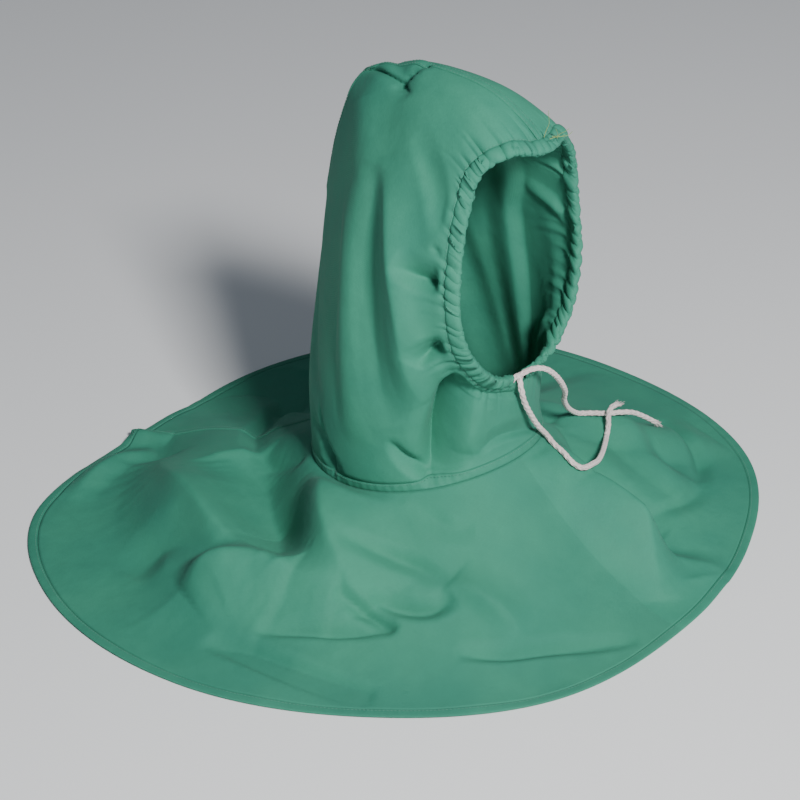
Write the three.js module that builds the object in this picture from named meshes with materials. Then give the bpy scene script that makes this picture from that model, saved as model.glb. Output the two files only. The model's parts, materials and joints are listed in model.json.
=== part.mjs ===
// A cloth welding hood: a drawstring hood that covers the head and neck, sewn to a wide round cape that
// spreads over the shoulders. It is shown in its worn form, with the hem of the cape lying level.
// Millimetres, +Z up. The face looks along -Y and the wearer's left is +X.
// The origin is the inside of the crown, where the top of a head sits.
import * as THREE from "three";

// Cloth and sewing
const CLOTH = 1.2;
const SEAM_CLOTH = 2.4;
const HEM_CLOTH = 2.4;
const SEW_GAP = 0.4;
const NECK_SEAM_WIDTH = 8;
const HEM_WIDTH = 9;
const RIDGE_WIDTH = 8;
const RIDGE_CLOTH = 1.4;
const SEAM_LIFT = 0.6;

// Drawstring and the casing that it runs in
const CORD = 5;
const CORD_ROOM = 1;
const CORD_SIDES = 8;
const CASING_WIDTH = 16;
const CASING_CLOTH = 1.2;
const CASING_SLIT = 15;
const PUCKER = 1.3;
const PUCKER_START = 9;
const PUCKER_REACH = 36;

// Folds: how full they are near their ends, and how far the casing and the neck seam hold them low
const FOLD_ENDS = 0.7;
const SEAM_HOLD = 20;
const CASING_HOLD = 25;

// Hood, measured from the centre of the neck seam
const HOOD_DEPTH = 210;
const HOOD_RISE = 355;
const HOOD_HALF_WIDTH = 100;

// Cape
const CAPE_RISE = 88;
const CAPE_REACH = 335;
const CAPE_FLARE = 1.75;
const BACK_SEAM_TURN = 12;

// Mesh steps
const COLUMNS = 72;
const HOOD_ROWS = [0, 0.06, 0.13, 0.195, 0.25, 0.295, 0.345, 0.41, 0.49, 0.59, 0.7, 0.81, 0.91, 1];
const CAPE_ROWS = [0, 0.09, 0.19, 0.29, 0.39, 0.49, 0.59, 0.69, 0.79, 0.9, 1];
const BAND_ROWS = [0, 1];
const SEAM_COLUMNS = 6;
const FOLD_STEPS = 12;
const PROBE = 0.004;
const TINY = 1e-9;
const CORD_STEP = 3 * CORD;
const HOLLOW_SIDES = 6;
const MOUTH_STEP = 1 / 3;
const SEAT_RUN = 0.22;

const DEGREE = Math.PI / 180;
const TURN = 2 * Math.PI;
const { clamp, lerp, smoothstep } = THREE.MathUtils;

// Crown and back seam of the hood, from the face rim (run 0) to the neck seam (run 1).
// Forward is a share of HOOD_DEPTH and rise a share of HOOD_RISE.
const SEAM_LINE = [
  { run: 0.0, forward: 0.605, rise: 0.88 },
  { run: 0.05, forward: 0.5, rise: 0.93 },
  { run: 0.13, forward: 0.31, rise: 0.982 },
  { run: 0.22, forward: 0.06, rise: 1.0 },
  { run: 0.29, forward: -0.13, rise: 0.99 },
  { run: 0.36, forward: -0.325, rise: 0.955 },
  { run: 0.43, forward: -0.425, rise: 0.84 },
  { run: 0.55, forward: -0.505, rise: 0.68 },
  { run: 0.7, forward: -0.56, rise: 0.44 },
  { run: 0.85, forward: -0.55, rise: 0.19 },
  { run: 1.0, forward: -0.5, rise: -0.04 },
];

// Centre line of the throat, in the same shares.
const THROAT_LINE = [
  { run: 0.0, forward: 0.475, rise: 0.282 },
  { run: 0.05, forward: 0.47, rise: 0.27 },
  { run: 0.22, forward: 0.46, rise: 0.238 },
  { run: 0.43, forward: 0.46, rise: 0.196 },
  { run: 0.7, forward: 0.46, rise: 0.126 },
  { run: 0.85, forward: 0.47, rise: 0.086 },
  { run: 1.0, forward: 0.5, rise: 0.05 },
];

// Each loop of the hood spans from the throat to the seam. Wide is its half width as a share of
// HOOD_HALF_WIDTH, narrow the share lost towards the seam, rim the share of RIM_SHAPE that it takes, and
// dip how far its sides hang, as a share of HOOD_RISE.
const LOOP_SHAPE = [
  { run: 0.0, wide: 0.79, narrow: 0.0, rim: 1, dip: 0 },
  { run: 0.05, wide: 0.84, narrow: 0.1, rim: 0.8, dip: 0 },
  { run: 0.13, wide: 0.94, narrow: 0.35, rim: 0.4, dip: 0 },
  { run: 0.22, wide: 1.0, narrow: 0.52, rim: 0.15, dip: 0 },
  { run: 0.29, wide: 1.07, narrow: 0.68, rim: 0, dip: 0 },
  { run: 0.36, wide: 1.12, narrow: 0.78, rim: 0, dip: 0 },
  { run: 0.43, wide: 1.14, narrow: 0.8, rim: 0, dip: 0 },
  { run: 0.55, wide: 1.14, narrow: 0.78, rim: 0, dip: 0 },
  { run: 0.7, wide: 1.11, narrow: 0.6, rim: 0, dip: 0.005 },
  { run: 0.85, wide: 1.05, narrow: 0.28, rim: 0, dip: 0.015 },
  { run: 1.0, wide: 0.99, narrow: 0, rim: 0, dip: 0.03 },
];

// How far the face rim lies off an even loop, by the angle in degrees, as shares of HOOD_HALF_WIDTH.
const RIM_SHAPE = [
  { angle: -180, left: 0, forward: 0, rise: 0 },
  { angle: -170, left: -0.01, forward: -0.03, rise: 0.03 },
  { angle: -160, left: -0.03, forward: -0.11, rise: 0.1 },
  { angle: -140, left: -0.01, forward: -0.26, rise: 0.14 },
  { angle: -120, left: 0.05, forward: -0.25, rise: 0.13 },
  { angle: -100, left: 0.02, forward: -0.18, rise: 0.06 },
  { angle: -80, left: -0.02, forward: -0.11, rise: 0.01 },
  { angle: -60, left: -0.02, forward: -0.05, rise: -0.01 },
  { angle: -40, left: 0.01, forward: 0, rise: -0.01 },
  { angle: 0, left: 0, forward: 0, rise: -0.01 },
  { angle: 20, left: 0, forward: 0, rise: -0.07 },
  { angle: 40, left: 0.03, forward: -0.01, rise: -0.17 },
  { angle: 60, left: 0.04, forward: -0.03, rise: -0.15 },
  { angle: 80, left: 0.02, forward: -0.09, rise: -0.02 },
  { angle: 100, left: 0.05, forward: -0.19, rise: 0.02 },
  { angle: 120, left: 0.12, forward: -0.26, rise: 0.05 },
  { angle: 140, left: 0.07, forward: -0.22, rise: 0.05 },
  { angle: 160, left: 0.02, forward: -0.08, rise: 0.06 },
  { angle: 170, left: 0.01, forward: -0.02, rise: 0.02 },
  { angle: 180, left: 0, forward: 0, rise: 0 },
];

// Plan outline of the hem: reach is a share of CAPE_REACH, by the angle from the front in degrees.
const HEM_OUTLINE = [
  { angle: -180, reach: 0.905 },
  { angle: -160, reach: 0.96 },
  { angle: -140, reach: 1.07 },
  { angle: -120, reach: 1.06 },
  { angle: -90, reach: 0.985 },
  { angle: -60, reach: 0.91 },
  { angle: -30, reach: 0.885 },
  { angle: 0, reach: 0.84 },
  { angle: 30, reach: 0.875 },
  { angle: 60, reach: 0.97 },
  { angle: 90, reach: 1.0 },
  { angle: 120, reach: 1.04 },
  { angle: 150, reach: 0.98 },
  { angle: 180, reach: 0.905 },
];

// Folds of the hood. Each runs through four places, given as angles from the throat in degrees and runs.
// Lift (a ridge is above 0, a valley below) and the reach to its left and right are shares of
// HOOD_HALF_WIDTH. Round 2 is a soft fold and 1 a sharp one.
const HOOD_FOLDS = [
  { angle: [-120, -97, -82, -62], run: [0.32, 0.37, 0.46, 0.73], lift: -0.1, reach: [0.28, 0.24], round: 1.6 },
  { angle: [-123, -94, -68, -47], run: [0.3, 0.28, 0.33, 0.54], lift: 0.09, reach: [0.34, 0.2], round: 1.3 },
  { angle: [-121, -103, -91, -85], run: [0.4, 0.5, 0.67, 0.86], lift: 0.05, reach: [0.22, 0.2], round: 2 },
  { angle: [-38, -38, -42, -48], run: [0.13, 0.44, 0.69, 0.93], lift: -0.1, reach: [0.32, 0.26], round: 1.4 },
  { angle: [-21, -24, -26, -30], run: [0.26, 0.48, 0.67, 0.82], lift: 0.05, reach: [0.3, 0.16], round: 1.6 },
  { angle: [-66, -57, -44, -25], run: [0.82, 0.91, 0.94, 0.86], lift: -0.07, reach: [0.28, 0.07], round: 1.5 },
  { angle: [-90, -85, -86, -91], run: [0.27, 0.19, 0.1, 0.01], lift: -0.11, reach: [0.24, 0.1], round: 1.3 },
  { angle: [-55, -56, -58, -61], run: [0.36, 0.26, 0.12, -0.01], lift: -0.11, reach: [0.2, 0.08], round: 1.4 },
  { angle: [-22, -9, 5, 38], run: [0.82, 0.76, 0.8, 1.02], lift: -0.06, reach: [0.18, 0.06], round: 1.4 },
  { angle: [-128, -117, -107, -96], run: [0.92, 0.92, 0.94, 0.98], lift: -0.06, reach: [0.08, 0.1], round: 1.5 },
  { angle: [-170, -159, -139, -112], run: [0.6, 0.66, 0.75, 0.86], lift: -0.05, reach: [0.16, 0.24], round: 2 },
  { angle: [-146, -159, -178, -202], run: [0.26, 0.28, 0.3, 0.3], lift: -0.14, reach: [0.16, 0.2], round: 1.5 },
  { angle: [170, 173, 186, 210], run: [0.8, 0.84, 0.88, 0.9], lift: -0.05, reach: [0.14, 0.16], round: 2 },
  { angle: [124, 100, 76, 52], run: [0.3, 0.28, 0.49, 0.92], lift: -0.09, reach: [0.26, 0.14], round: 1.8 },
  { angle: [126, 111, 97, 84], run: [0.5, 0.54, 0.68, 0.9], lift: 0.06, reach: [0.24, 0.2], round: 2 },
  { angle: [94, 90, 86, 84], run: [0.26, 0.19, 0.11, 0.03], lift: -0.05, reach: [0.12, 0.12], round: 1.6 },
  { angle: [36, 42, 41, 34], run: [0.1, 0.37, 0.63, 0.9], lift: -0.05, reach: [0.14, 0.14], round: 1.8 },
  { angle: [160, 146, 130, 112], run: [0.62, 0.7, 0.78, 0.88], lift: -0.055, reach: [0.2, 0.16], round: 2 },
];

// Folds of the cape, with run 0 at the neck seam and 1 at the hem. Lifts are shares of CAPE_RISE and
// reaches shares of CAPE_REACH.
const CAPE_FOLDS = [
  { angle: [-109, -92, -79, -67], run: [-0.02, 0.12, 0.28, 0.47], lift: 0.24, reach: [0.2, 0.08], round: 1.3 },
  { angle: [178, -150, -111, -86], run: [0.44, 0.2, 0.23, 0.36], lift: -0.26, reach: [0.2, 0.11], round: 1.4 },
  { angle: [165, -174, -136, -112], run: [1, 0.54, 0.29, 0.31], lift: 0.12, reach: [0.16, 0.16], round: 2 },
  { angle: [-168, -141, -120, -99], run: [0.71, 0.48, 0.43, 0.41], lift: 0.24, reach: [0.12, 0.1], round: 1.3 },
  { angle: [-124, -126, -117, -96], run: [0.72, 0.56, 0.48, 0.41], lift: -0.16, reach: [0.13, 0.09], round: 1.6 },
  { angle: [-108, -106, -96, -74], run: [0.65, 0.52, 0.42, 0.42], lift: 0.24, reach: [0.1, 0.18], round: 1.4 },
  { angle: [27, 19, 16, 21], run: [0.04, 0.28, 0.56, 0.96], lift: 0.26, reach: [0.08, 0.18], round: 1.3 },
  { angle: [57, 36, 27, 24], run: [0.12, 0.23, 0.42, 0.63], lift: -0.2, reach: [0.12, 0.07], round: 1.5 },
  { angle: [72, 58, 49, 45], run: [0.41, 0.44, 0.55, 0.68], lift: 0.12, reach: [0.08, 0.09], round: 2 },
  { angle: [-155, -163, -169, -172], run: [0.9, 0.9, 0.88, 0.78], lift: 0.12, reach: [0.07, 0.07], round: 1.5 },
  { angle: [160, 156, 154, -115], run: [0.94, 0.83, 0.66, -0.15], lift: -0.14, reach: [0.09, 0.04], round: 1.4 },
  { angle: [84, 70, 64, 66], run: [0, 0.26, 0.56, 0.9], lift: 0.2, reach: [0.15, 0.13], round: 2 },
  { angle: [-178, -178, -178, -178], run: [0.8, 0.9, 0.98, 1.05], lift: 0.12, reach: [0.05, 0.05], round: 1.8 },
  { angle: [112, 106, 102, 98], run: [0.02, 0.3, 0.61, 0.95], lift: -0.14, reach: [0.12, 0.12], round: 2 },
  { angle: [136, 132, 128, 126], run: [-0.02, 0.28, 0.63, 1.04], lift: 0.18, reach: [0.12, 0.14], round: 2 },
  { angle: [158, 155, 153, 150], run: [0.05, 0.35, 0.65, 0.95], lift: -0.14, reach: [0.11, 0.11], round: 2 },
];

// The free ends of the drawstring, as left, forward and rise from the centre of the neck seam.
// Both leave the casing at the throat and cross on the wearer's left shoulder.
const RIGHT_END_ROUTE = [
  { left: -2.5, forward: 99.8, rise: 95.8 },
  { left: 2.5, forward: 103.4, rise: 98.6 },
  { left: 8, forward: 106.6, rise: 101 },
  { left: 19.1, forward: 108.5, rise: 98.7 },
  { left: 31.6, forward: 109, rise: 91.6 },
  { left: 47.1, forward: 106.5, rise: 78 },
  { left: 64.2, forward: 101, rise: 60.6 },
  { left: 80.4, forward: 93, rise: 42.4 },
  { left: 91.9, forward: 84, rise: 25.8 },
  { left: 113.3, forward: 73.5, rise: 4 },
  { left: 139.8, forward: 65, rise: -16.3 },
  { left: 151.1, forward: 69.5, rise: -19.7 },
  { left: 161.3, forward: 73.6, rise: -22.8 },
  { left: 168.6, forward: 78.7, rise: -24.6 },
  { left: 176.9, forward: 84.2, rise: -25.2 },
  { left: 185.9, forward: 89.2, rise: -26.8 },
  { left: 196.7, forward: 91.1, rise: -32 },
  { left: 209.8, forward: 93.8, rise: -41.2 },
  { left: 222.9, forward: 96.7, rise: -51.5 },
];
const LEFT_END_ROUTE = [
  { left: 3.6, forward: 99.8, rise: 92.6 },
  { left: 0.6, forward: 103, rise: 87.5 },
  { left: 0.8, forward: 104.8, rise: 81 },
  { left: 4, forward: 104.2, rise: 72.7 },
  { left: 9, forward: 104.5, rise: 62.1 },
  { left: 18.7, forward: 103, rise: 48.2 },
  { left: 28.6, forward: 102.5, rise: 34.4 },
  { left: 44.3, forward: 101, rise: 17.4 },
  { left: 44, forward: 109.3, rise: 11.6 },
  { left: 41.8, forward: 120.9, rise: 8.9 },
  { left: 40, forward: 131.1, rise: 4.5 },
  { left: 40.7, forward: 136.2, rise: 2 },
  { left: 42.7, forward: 140.3, rise: 0.1 },
  { left: 46.9, forward: 143.7, rise: 0.2 },
  { left: 62.2, forward: 138.9, rise: -5.8 },
  { left: 82.4, forward: 130.5, rise: -15.1 },
  { left: 104.1, forward: 119.6, rise: -21.6 },
  { left: 124.9, forward: 107.6, rise: -27.4 },
  { left: 147.4, forward: 93.9, rise: -33.5 },
  { left: 153.5, forward: 91, rise: -28.8 },
  { left: 157, forward: 88.7, rise: -23.7 },
  { left: 162.2, forward: 84.8, rise: -20 },
  { left: 169.9, forward: 82.1, rise: -17.8 },
  { left: 181.7, forward: 79.5, rise: -20.6 },
];

const clothLook = { roughness: 0.88, metalness: 0, side: THREE.FrontSide };
const greenCloth = new THREE.MeshStandardMaterial({ color: 0x4f9980, ...clothLook });
const seamCloth = new THREE.MeshStandardMaterial({ color: 0x468f77, ...clothLook });
const whiteCord = new THREE.MeshStandardMaterial({ color: 0xdcd2ce, roughness: 0.95, metalness: 0 });

// A smooth curve through the values of one named column of a table.
function readColumn(rows, key, column, at) {
  let i = 1;
  while (i < rows.length - 1 && rows[i][key] < at) i++;
  const [a, b] = [rows[i - 1], rows[i]];
  const slope = (p, q) => (q[column] - p[column]) / (q[key] - p[key]);
  const before = i > 1 ? slope(rows[i - 2], b) : slope(a, b);
  const after = i < rows.length - 1 ? slope(a, rows[i + 1]) : slope(a, b);
  const span = b[key] - a[key];
  const s = clamp((at - a[key]) / span, 0, 1);
  return (
    a[column] * (1 + 2 * s) * (1 - s) ** 2 +
    b[column] * s * s * (3 - 2 * s) +
    span * (before * s * (1 - s) ** 2 - after * s * s * (1 - s))
  );
}

const place = (left, forward, rise) => new THREE.Vector3(left, -forward, rise + CAPE_RISE);

// The hood's smooth surface. The angle is 0 at the throat and a half turn at the crown and back seam.
function hoodBase(angle, run) {
  const line = (rows) => [
    readColumn(rows, "run", "forward", run) * HOOD_DEPTH,
    readColumn(rows, "run", "rise", run) * HOOD_RISE,
  ];
  const [seam, throat] = [line(SEAM_LINE), line(THROAT_LINE)];
  const shape = (column) => readColumn(LOOP_SHAPE, "run", column, run);
  const degrees = Math.atan2(Math.sin(angle), Math.cos(angle)) / DEGREE;
  const rim = (column) => readColumn(RIM_SHAPE, "angle", column, degrees) * shape("rim") * HOOD_HALF_WIDTH;
  const along = (1 - Math.cos(angle)) / 2;
  const across = Math.sin(angle);
  const halfWidth = shape("wide") * HOOD_HALF_WIDTH * (1 - shape("narrow") * along * along);
  const dip = shape("dip") * HOOD_RISE * across * across;
  return place(
    across * halfWidth + rim("left"),
    lerp(throat[0], seam[0], along) + rim("forward"),
    lerp(throat[1], seam[1], along) - dip + rim("rise"),
  );
}

// The cape's smooth surface, from the neck seam (run 0) to the hem (run 1). Its back seam ends a little
// towards the wearer's right, so the columns turn with it.
function capeBase(angle, run) {
  const neck = hoodBase(angle, 1);
  const turned = angle + BACK_SEAM_TURN * DEGREE * ((1 - Math.cos(angle)) / 2) ** 2;
  const degrees = Math.atan2(Math.sin(turned), Math.cos(turned)) / DEGREE;
  const reach = readColumn(HEM_OUTLINE, "angle", "reach", degrees) * CAPE_REACH;
  const hem = place(reach * Math.sin(turned), reach * Math.cos(turned), HEM_CLOTH / 2 - CAPE_RISE);
  const point = neck.clone().lerp(hem, run);
  point.z = hem.z + (neck.z - hem.z) * (1 - run) ** CAPE_FLARE;
  return point;
}

// The whole cloth in one run: 0 at the face rim, 1 at the neck seam, 2 at the hem.
function base(angle, run) {
  return run <= 1 ? hoodBase(angle, run) : capeBase(angle, run - 1);
}

// The tangents and outward normal of a surface at one place.
function frameOf(surface, angle, run) {
  const around = surface(angle + PROBE, run).sub(surface(angle - PROBE, run)).normalize();
  const down = surface(angle, Math.min(run + PROBE, 2)).sub(surface(angle, Math.max(run - PROBE, 0)));
  const normal = down.cross(around).normalize();
  return { point: surface(angle, run), around, normal, down: around.clone().cross(normal) };
}

// A smooth curve through evenly spaced values: t runs from 0 at the first to 1 at the last.
function through(values, t) {
  const last = values.length - 1;
  const i = Math.min(Math.floor(t * last), last - 1);
  const s = t * last - i;
  const slope = (at) => {
    const [before, after] = [Math.max(at - 1, 0), Math.min(at + 1, last)];
    return (values[after] - values[before]) / (after - before);
  };
  const ends = values[i] * (1 + 2 * s) * (1 - s) ** 2 + values[i + 1] * s * s * (3 - 2 * s);
  return ends + slope(i) * s * (1 - s) ** 2 - slope(i + 1) * s * s * (1 - s);
}

// A fold's course on the smooth surface, through the places of its row.
function foldCourse(row, firstRun, liftUnit, reachUnit) {
  const angles = row.angle.map((angle) => angle - 360 * Math.round((angle - row.angle[0]) / 360));
  const spots = Array.from({ length: FOLD_STEPS + 1 }, (_, i) => {
    const [angle, run] = [through(angles, i / FOLD_STEPS), through(row.run, i / FOLD_STEPS)];
    return frameOf(base, angle * DEGREE, clamp(firstRun + run, 0, 2));
  });
  const [left, right] = row.reach.map((reach) => reach * reachUnit);
  return { spots, lift: row.lift * liftUnit, left, right, round: row.round };
}

const hoodCourses = HOOD_FOLDS.map((row) => foldCourse(row, 0, HOOD_HALF_WIDTH, HOOD_HALF_WIDTH));
const capeCourses = CAPE_FOLDS.map((row) => foldCourse(row, 1, CAPE_RISE, CAPE_REACH));

// How far one fold lifts the cloth at a point: full on its course, fading to both sides and both ends.
function foldLift(fold, point) {
  let best = { distance: Infinity };
  for (let i = 0; i < FOLD_STEPS; i++) {
    const step = fold.spots[i + 1].point.clone().sub(fold.spots[i].point);
    const offset = point.clone().sub(fold.spots[i].point);
    const t = clamp(offset.dot(step) / Math.max(step.lengthSq(), TINY), 0, 1);
    offset.addScaledVector(step, -t);
    if (offset.length() < best.distance) {
      const leftward = fold.spots[i].normal.clone().cross(step);
      best = { distance: offset.length(), share: (i + t) / FOLD_STEPS, onLeft: offset.dot(leftward) > 0 };
    }
  }
  const away = best.distance / (best.onLeft ? fold.left : fold.right);
  if (away >= 1) return 0;
  const ends = Math.sin(Math.PI * best.share) ** FOLD_ENDS;
  return fold.lift * ends * (1 - away ** fold.round) ** 2;
}

// Gathers that the drawstring pulls into the hood beside the casing.
function puckerLift(angle, fromRim) {
  const start = smoothstep(fromRim, CASING_WIDTH, CASING_WIDTH + PUCKER_START);
  const end = 1 - smoothstep(fromRim, CASING_WIDTH + PUCKER_START, CASING_WIDTH + PUCKER_REACH);
  return PUCKER * Math.cos((COLUMNS / 2) * angle) * start * end;
}

// The folded cloth: the smooth surface lifted by every fold, and never below the level of the hem.
// The casing holds the cloth even, so the folds start behind it, and the neck seam holds them low.
function cloth(angle, run) {
  const { point, normal } = frameOf(base, angle, run);
  const fromRim = runLength(angle, 0) * run;
  const courses = run < 1 ? hoodCourses : capeCourses;
  const folded = courses.reduce((sum, fold) => sum + foldLift(fold, point), 0);
  const fromSeam = Math.abs(run - 1) * runLength(angle, run < 1 ? 1 - PROBE : 1 + PROBE);
  const held = smoothstep(fromSeam, 0, SEAM_HOLD);
  const free = held * smoothstep(fromRim, CASING_WIDTH, CASING_HOLD);
  point.addScaledVector(normal, folded * free + puckerLift(angle, fromRim));
  point.z = Math.max(point.z, HEM_CLOTH / 2);
  return point;
}

// Width of cloth for a whole run near one place, measured square to the loop through it.
function runLength(angle, run) {
  const [above, below] = [Math.max(run - PROBE, 0), Math.min(run + PROBE, 2)];
  const step = base(angle, below).sub(base(angle, above));
  const around = base(angle + PROBE, run).sub(base(angle - PROBE, run)).normalize();
  return step.cross(around).length() / (below - above);
}

// Edges between the pieces, as the run at an angle.
const casingBack = (angle) => CASING_WIDTH / runLength(angle, 0);
const neckSeamTop = (angle) => 1 - NECK_SEAM_WIDTH / runLength(angle, 1 - PROBE);
const neckSeam = () => 1;
const hemTop = (angle) => 2 - HEM_WIDTH / runLength(angle, 2);
const hemEdge = () => 2;

const evenAngle = (column) => (column / COLUMNS) * TURN;

// The angle of a mesh column at a run. The two columns beside the back seam keep half of its width, so that
// its strip lies on whole columns, and the next few share out what is left.
function columnAngle(column, run) {
  const fromBack = column - COLUMNS / 2;
  if (fromBack === 0 || Math.abs(fromBack) > SEAM_COLUMNS) return evenAngle(column);
  const perRadian = base(Math.PI + PROBE, run).distanceTo(base(Math.PI, run)) / PROBE;
  const share = (Math.abs(fromBack) - 1) / (SEAM_COLUMNS - 1);
  return Math.PI + Math.sign(fromBack) * lerp(RIDGE_WIDTH / 2 / perRadian, evenAngle(SEAM_COLUMNS), share);
}

// Places of the folded cloth along one column, between two edges. The first and the last stand back from
// their edge by half of the sewing gap.
function columnFrames(column, startRun, endRun, rows) {
  const even = evenAngle(column);
  return rows.map((share) => {
    const run = lerp(startRun(even), endRun(even), share);
    const frame = frameOf(cloth, columnAngle(column, run), run);
    const setBack = share === 0 ? SEW_GAP / 2 : share === 1 ? -SEW_GAP / 2 : 0;
    frame.point.addScaledVector(frame.down, setBack);
    return frame;
  });
}

const offset = (frame, height) => frame.point.clone().addScaledVector(frame.normal, height);

// A named mesh from points and from triangles that give the numbers of their points.
function meshOf(name, material, points, faces) {
  const places = points.flatMap((point) => point.toArray());
  const geometry = new THREE.BufferGeometry();
  geometry.setAttribute("position", new THREE.Float32BufferAttribute(places, 3));
  geometry.setIndex(faces.flat());
  geometry.computeVertexNormals();
  const mesh = new THREE.Mesh(geometry, material);
  mesh.name = name;
  return mesh;
}

// Two triangles for each step between neighbouring sections of equal size. From turnAt on, where a wall's
// other side begins, they are cut along the other diagonal, so that both sides of the wall fold alike.
function skin(sections, closed, turnAt = Infinity) {
  const size = sections[0].length;
  const faces = [];
  const last = closed ? sections.length : sections.length - 1;
  for (let i = 0; i < last; i++) {
    const [here, next] = [sections[i], sections[(i + 1) % sections.length]];
    for (let j = 0; j < size; j++) {
      const k = (j + 1) % size;
      if (j < turnAt) faces.push([here[j], next[k], next[j]], [here[j], here[k], next[k]]);
      else faces.push([here[j], here[k], next[j]], [here[k], next[k], next[j]]);
    }
  }
  return faces;
}

// A closed band of cloth round the whole hood or cape, between two edges.
function clothBand(name, material, startRun, endRun, rows, thickness) {
  const points = [];
  const sections = Array.from({ length: COLUMNS }, (_, column) => {
    const frames = columnFrames(column, startRun, endRun, rows);
    const outside = frames.map((frame) => offset(frame, thickness / 2));
    const inside = frames.map((frame) => offset(frame, -thickness / 2)).reverse();
    const first = points.length;
    points.push(...inside, ...outside);
    return [...inside, ...outside].map((_, i) => first + i);
  });
  return meshOf(name, material, points, skin(sections, true, rows.length));
}

const flip = (face) => face.slice().reverse();

// A raised seam along the centre back: a narrow strip of cloth lying on the sheet that it joins.
function raisedSeam(name, startRun, endRun, rows) {
  const back = COLUMNS / 2;
  const columns = [back - 1, back, back + 1].map((column) => columnFrames(column, startRun, endRun, rows));
  const points = [];
  const sections = rows.map((_, row) => {
    const strip = columns.map((frames) => frames[row]);
    const below = strip.map((frame) => offset(frame, CLOTH / 2 + SEAM_LIFT));
    const above = strip.map((frame) => offset(frame, CLOTH / 2 + SEAM_LIFT + RIDGE_CLOTH)).reverse();
    const first = points.length;
    points.push(...above, ...below);
    return [...above, ...below].map((_, i) => first + i);
  });
  const faces = skin(sections, false, columns.length);
  const cap = ([d, e, f, a, b, c]) => [[a, b, e], [a, e, f], [b, c, d], [b, d, e]];
  faces.push(...cap(sections[0]).map(flip), ...cap(sections[rows.length - 1]));
  return meshOf(name, seamCloth, points, faces);
}

// Half of the casing's opening at the throat, as an angle.
const slitAngle = CASING_SLIT / 2 / (LOOP_SHAPE[0].wide * HOOD_HALF_WIDTH);

// The angles at which the casing's sections stand, from the slit round the face and back to the slit.
function casingAngles() {
  const clear = slitAngle + evenAngle(MOUTH_STEP);
  const between = Array.from({ length: COLUMNS }, (_, column) => columnAngle(column, 0));
  return [slitAngle, ...between.filter((angle) => angle > clear && angle < TURN - clear), TURN - slitAngle];
}

const hollowRadius = CORD / 2 + CORD_ROOM;
const casingHalfHeight = hollowRadius + CASING_CLOTH;

// The casing's flat plan at one angle: its front edge, its sewn edge and the way outwards.
function casingFrame(angle) {
  const front = frameOf(cloth, angle, 0);
  const back = frameOf(cloth, angle, casingBack(angle));
  back.point.addScaledVector(back.down, -SEW_GAP / 2);
  const normal = front.normal.clone().add(back.normal).normalize();
  const at = (share, height) => front.point.clone().lerp(back.point, share).addScaledVector(normal, height);
  const width = back.point.clone().sub(front.point).cross(front.around).length();
  return { at, width };
}

// The drawstring casing: a flat tube of gathered cloth round the face, open at both ends at the throat.
function faceCasing() {
  const points = [];
  const outer = [];
  const inner = [];
  for (const angle of casingAngles()) {
    const { at, width } = casingFrame(angle);
    const gather = (PUCKER * (1 + Math.cos((COLUMNS / 2) * angle))) / 2;
    const shoulder = casingHalfHeight / width;
    const top = casingHalfHeight + gather;
    const outside = [
      at(0, 0), at(shoulder, top), at(1 - shoulder, top), at(1, CLOTH / 2),
      at(1, -CLOTH / 2), at(1 - shoulder, -casingHalfHeight), at(shoulder, -casingHalfHeight),
    ];
    const corner = hollowRadius / Math.cos(Math.PI / HOLLOW_SIDES);
    const inside = Array.from({ length: HOLLOW_SIDES }, (_, i) => {
      const turn = (i / HOLLOW_SIDES) * TURN;
      return at(0.5 - (corner * Math.cos(turn)) / width, corner * Math.sin(turn));
    });
    outer.push(outside.map((_, i) => points.length + i));
    points.push(...outside);
    inner.push(inside.map((_, i) => points.length + i));
    points.push(...inside);
  }
  const faces = [
    ...skin(outer, false),
    ...skin(inner, false).map(flip),
    ...ringFace(outer[0], inner[0]).map(flip),
    ...ringFace(outer.at(-1), inner.at(-1)),
  ];
  return meshOf("face_casing", seamCloth, points, faces);
}

// The flat end between an outer ring of seven points and a hole of six.
function ringFace(ring, hole) {
  const pairs = [[0, 0], [1, 1], [2, 2], [3, 3], [4, 3], [5, 4], [6, 5]];
  const faces = [];
  pairs.forEach(([a, b], i) => {
    const [c, d] = pairs[(i + 1) % pairs.length];
    faces.push([ring[a], ring[c], hole[b]]);
    if (b !== d) faces.push([ring[c], hole[d], hole[b]]);
  });
  return faces;
}

// A cord along a smooth curve through the given places.
function cordAlong(name, places) {
  const path = new THREE.CatmullRomCurve3(places, false, "centripetal");
  const section = new THREE.Shape(
    Array.from({ length: CORD_SIDES }, (_, i) => {
      const turn = (i / CORD_SIDES) * TURN;
      return new THREE.Vector2(Math.cos(turn), Math.sin(turn)).multiplyScalar(CORD / 2);
    }),
  );
  const steps = Math.round(path.getLength() / CORD_STEP);
  const geometry = new THREE.ExtrudeGeometry(section, { steps, extrudePath: path, bevelEnabled: false });
  const mesh = new THREE.Mesh(geometry, whiteCord);
  mesh.name = name;
  return mesh;
}

// The middle of the casing, where the drawstring runs.
const casingMiddle = (angle) => casingFrame(angle).at(0.5, 0);

// A free end of the drawstring, from its mouth of the casing on along its route.
function freeCord(name, mouthAngle, route) {
  const mouth = casingMiddle(mouthAngle);
  const inside = casingMiddle(mouthAngle + Math.sign(Math.PI - mouthAngle) * slitAngle);
  const outwards = mouth.clone().sub(inside).normalize();
  const start = [SEW_GAP, SEW_GAP + CORD / 2].map((out) => mouth.clone().addScaledVector(outwards, out));
  const onwards = route.map(({ left, forward, rise }) => place(left, forward, rise));
  return cordAlong(name, [...start, ...onwards]);
}

// The hood stands on the head at the inside of its crown, so the whole is moved to bring that point to 0.
const crown = frameOf(cloth, Math.PI, SEAT_RUN);
const seat = offset(crown, -CLOTH / 2);

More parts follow.
